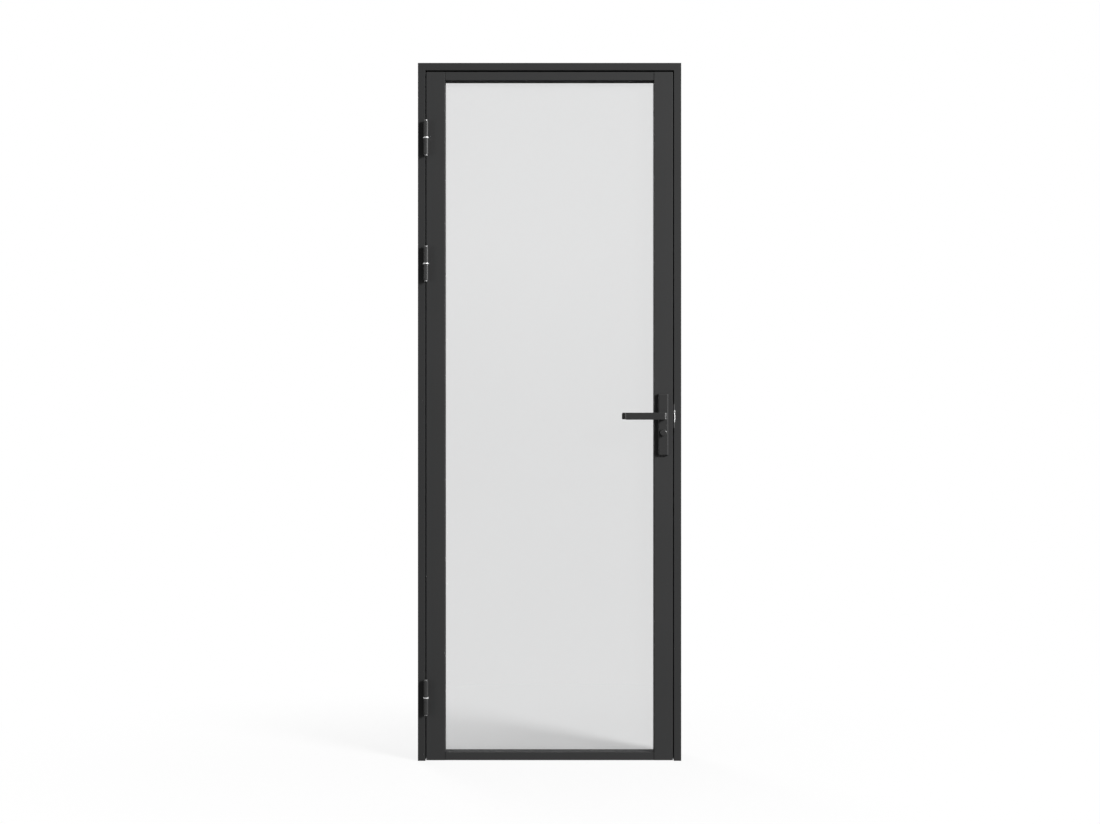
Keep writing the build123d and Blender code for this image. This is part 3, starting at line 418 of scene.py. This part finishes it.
def rail_joint_shade(place):
    """1 on a hairline at each end of a rail, where painted shade stands for the joint's gap: at the
    stiles' faces in front and in their rebates behind.
    """
    behind = place.along("Y").ramp(bedding_y - joint_edge, bedding_y)
    end = behind * (rear_joint - front_joint) + front_joint
    short_of_end = end - abs(place.along("X"))
    return 1 - short_of_end.ramp(joint_line - joint_edge, joint_line)


batch = dict(dark=0.0335, light=0.0405, roughness=0.5, gloss=0.1)
leaf_coat = powder_coat("leaf_powder_coat", **batch)
rail_coat = powder_coat("rail_powder_coat", joints=rail_joint_shade, **batch)
dress(leaf_coat, "hinge_stile", "lock_stile")
dress(rail_coat, "top_rail", "bottom_rail")
dress(zinc_plate, "rail_screws")


# Pane: one sheet of 8 mm toughened glass, faintly grey and with a trace of haze, standing on rubber
# blocks in the rebate. Strips of rubber bed it in front and behind, and four snapped-in beads hold it.
def pane_glass(name):
    """Float glass: clear but for a trace of haze, with a slow waviness that runs up the sheet."""
    darkest = (0.769, 0.772, 0.774, 1)
    lightest = (0.784, 0.787, 0.789, 1)
    material, place = finish(name, Transmission_Weight=0.985, IOR=1.5)
    wave = place.stretched((1.0, 1.0, 0.35)).noise(cells=5.0, detail=1.0)
    haze = place.noise(cells=3.0, detail=4.0)
    faces = relief(place, wave, strength=0.02, depth=0.001)
    return vary(material, haze.between(darkest, lightest), haze * 0.02, faces)


dress(pane_glass("pane_glass"), "glass_pane")
gasket_rubber = rubber("glazing_rubber", value=0.014, roughness=0.68)
dress(gasket_rubber, "front_glazing_gasket", "rear_glazing_gasket", "setting_blocks")
dress(leaf_coat, "top_bead", "bottom_bead", "hinge_side_bead", "lock_side_bead")


# Lock: a plated steel case in the lock stile, with a brushed faceplate, latch and dead bolt.
# A spring pushes the latch out, the follower draws it back and a crank on the knob throws the bolt.
brushed_run = (1300.0, 1300.0, 14.0)
brushed_steel = bare_metal("brushed_lock_steel", 0.6, 0.3, brushed_run)
dress(brushed_steel, "lock_faceplate", "latch_bolt", "dead_bolt")
dress(zinc_plate, "lock_case", "lock_case_cover", "lock_mounting_clips")
dress(zinc_plate, "latch_spring", "latch_follower", "bolt_crank")

faceplate_x = 0.3745
faceplate_screw_levels = (0.953, 1.097)
faceplate_seats = [(faceplate_x, 0, level) for level in faceplate_screw_levels]
screw_set(
    "faceplate_socket_screws", "faceplate_screws", "leaf", faceplate_seats, (-1, 0, 0),
    length=lock_screw_length, **lock_screw,
)


# Handles: cast zinc plates, levers and a turn knob under a satin black coat, on both sides of the stile.
# Two long bolts from the back pull the plates together, and grub screws hold the levers on their
# square spindle.
def handle_coat(name, dark, light, roughness, gloss):
    """Smooth black coat on a casting: a fine even grain, a little shinier where hands polish it."""
    blue_tint = 0.004
    material, place = finish(name, Specular_IOR_Level=gloss)
    grain = place.noise(cells=2400.0)
    touched = place.noise(cells=26.0)
    black = (touched * 0.5 + grain * 0.5).between(grey(dark, blue_tint), grey(light, blue_tint))
    dulled = roughness - 0.06 + grain * 0.06 + touched * 0.08
    return vary(material, black, dulled, relief(place, grain, strength=0.1, depth=0.00012))


plate_black = handle_coat("plate_satin_black", dark=0.026, light=0.031, roughness=0.48, gloss=0.2)
lever_black = handle_coat("handle_satin_black", dark=0.023, light=0.028, roughness=0.22, gloss=0.62)
knob_black = handle_coat("knob_satin_black", dark=0.021, light=0.026, roughness=0.3, gloss=0.75)
dress(plate_black, "front_handle_plate", "rear_handle_plate")
dress(lever_black, "front_lever", "rear_lever")
dress(knob_black, "turn_knob", "coin_release")
dress(zinc_plate, "lever_spindle", "lever_grub_screws")

plate_bolt_x = 0.3445
plate_bolt_y = 0.034
plate_bolt_levels = (1.099, 0.945)
plate_bolt_seats = [(plate_bolt_x, plate_bolt_y, level) for level in plate_bolt_levels]
screw_set(
    "handle_plate_socket_bolts", "handle_plate_bolts", "leaf", plate_bolt_seats, (0, -1, 0),
    head=0.0045, shank=0.0025, length=0.0639, socket=0.0015, socket_depth=0.0018, pitch=0.0045,
)


# Studio: a pale floor that fades into a white background, a key light from the upper right in front with
# a strip below it, a weaker lamp on the left and one behind for the back. The lamps don't show, not even
# through the glass. The camera stands straight in front, at half the door's height.
floor_radius = 14.0
floor_rings = 14
floor_spokes = 96
floor_drop = 0.0004

# The floor is rings of points round the door's foot at even steps of radius and angle, with a fan inside.
ring_radius = np.linspace(0, floor_radius, floor_rings + 1)[1:, None]
spoke_angle = np.linspace(0, 2 * np.pi, floor_spokes, endpoint=False)[None]
floor_x = ring_radius * np.cos(spoke_angle)
floor_y = ring_radius * np.sin(spoke_angle)
floor_grid = np.stack([floor_x, floor_y, np.full_like(floor_x, -floor_drop)], -1).reshape(-1, 3)
floor_points = np.concatenate([floor_grid, [[0, 0, -floor_drop]]])
floor_quads = ring_quads(floor_rings, floor_spokes)
floor_fan = ring_fan(np.arange(floor_spokes), len(floor_grid))
floor_mesh = bpy.data.meshes.new("studio_floor")
floor_mesh.from_pydata(floor_points.tolist(), [], floor_quads.tolist() + floor_fan.tolist())
floor = new_object("studio_floor", floor_mesh)


def sight(tree):
    """How a ray comes, as four values of 0 or 1: from the camera, glossy, through the glass, mirrored.

    A ray that a matt face has scattered counts as neither glossy nor through. One that the glass lets
    through counts as glossy too, but as mirrored only after a reflection on its way.
    """
    ray = Shade(tree)
    unscattered = 1 - ray.add("LightPath", take="Diffuse Depth").capped()
    seen = ray.add("LightPath", take="Is Camera Ray")
    glossy = ray.add("LightPath", take="Is Glossy Ray") * unscattered
    through = ray.add("LightPath", take="Is Transmission Ray") * unscattered
    mirrored = ray.add("LightPath", take="Glossy Depth").capped()
    return seen, glossy, through, mirrored


# What sees the floor gets plain white, mixed with matt floor near the door, which takes the shadow.
# The light that the floor throws back comes from a darker matt floor alone.
shadow_stretch = (0.45, 1.0, 1.0)
shadow_fade = (0.05, 0.9)
seen_matt_share = 0.15
glossy_matt_share = 0.4
through_matt_share = 0.08
mirror_dimming = 0.85
floor_pale = grey(0.78)
floor_dark = grey(0.16)

floor_white = bpy.data.materials.new("studio_floor")
floor_white.use_nodes = True
tree = floor_white.node_tree
tree.nodes.remove(tree.nodes["Principled BSDF"])
seen, glossy, through, mirrored = sight(tree)
spot = Shade(tree).add("TexCoord", take="Object")
distance = spot.add("VectorMath", {"operation": "LENGTH"}, {0: spot.stretched(shadow_stretch)}, "Value")
near = 1 - distance.ramp(*shadow_fade)
other = 1 - (seen + glossy + through).capped()
matt_share = seen * seen_matt_share + glossy * glossy_matt_share + through * through_matt_share
gleam = 1 - glossy * (1 - through * (1 - mirrored)) * mirror_dimming
matt = spot.add("BsdfDiffuse", {}, {"Color": other.between(floor_pale, floor_dark)})
white = spot.add("Emission", {}, {"Color": grey(1.0), "Strength": gleam})
ground = spot.add("MixShader", {}, {0: matt_share * near + other, 1: white, 2: matt})
ground.feed(tree.nodes["Material Output"].inputs["Surface"], ground)
floor_mesh.materials.append(floor_white)

# The background is white to the camera and through the glass. Glossy faces see it darker in front of
# the door and below the horizon, and the glass's inner face sees it fade in above the horizon.
fill = 0.17
front_share = 0.15
front_fade = (-0.75, -0.2)
low_share = 0.1
low_fade = (-0.06, 0.1)
inner_fade = (0.0, 0.2)

world = bpy.data.worlds.new("studio")
bpy.context.scene.world = world
world.use_nodes = True
tree = world.node_tree
seen, glossy, through, mirrored = sight(tree)
way_out = Shade(tree).add("TexCoord", take="Generated")
above = way_out.along("Z")
back = way_out.along("Y").ramp(*front_fade) * (1 - front_share) + front_share
high = above.ramp(*low_fade) * (1 - low_share) + low_share
beyond = through * (1 - mirrored * (1 - above.ramp(*inner_fade)))
background = (seen + beyond + glossy * (back * high)).capped()
background.feed(tree.nodes["Background"].inputs["Color"], grey(1.0))
background.feed(tree.nodes["Background"].inputs["Strength"], background * (1 - fill) + fill)

door_middle = (0, 0, 1.06)


def soft_box(name, place, width, height, power):
    """A rectangular lamp that looks at the middle of the door and isn't itself seen."""
    lamp = bpy.data.lights.new(name, "AREA")
    lamp.shape = "RECTANGLE"
    lamp.size = width
    lamp.size_y = height
    lamp.energy = power
    box = new_object(name, lamp)
    box.location = place
    right, ahead, up = np.subtract(door_middle, place)
    tilt = math.atan2(math.hypot(right, ahead), -up)
    box.rotation_euler = (tilt, 0, math.atan2(ahead, right) - math.pi / 2)
    box.visible_camera = False
    box.visible_transmission = False


soft_box("key_light", (6.97, -4.25, 4.27), width=2.2, height=2.2, power=1240.0)
soft_box("strip_light", (4.2, -2.56, 1.06), width=0.5, height=1.6, power=38.0)
soft_box("left_light", (-4.2, -2.56, 1.2), width=0.9, height=1.7, power=44.0)
soft_box("back_light", (-2.8, 3.4, 3.0), width=1.6, height=1.6, power=120.0)

camera_place = (0.0013, -3.285, 1.0595)
film_width = 36.0
focal_length = 35.13
camera = new_object("camera", bpy.data.cameras.new("camera"))
camera.data.sensor_width = film_width
camera.data.lens = focal_length
camera.location = camera_place
camera.rotation_euler = (math.pi / 2, 0, 0)
bpy.context.scene.camera = camera
bpy.context.scene.view_settings.view_transform = "Standard"
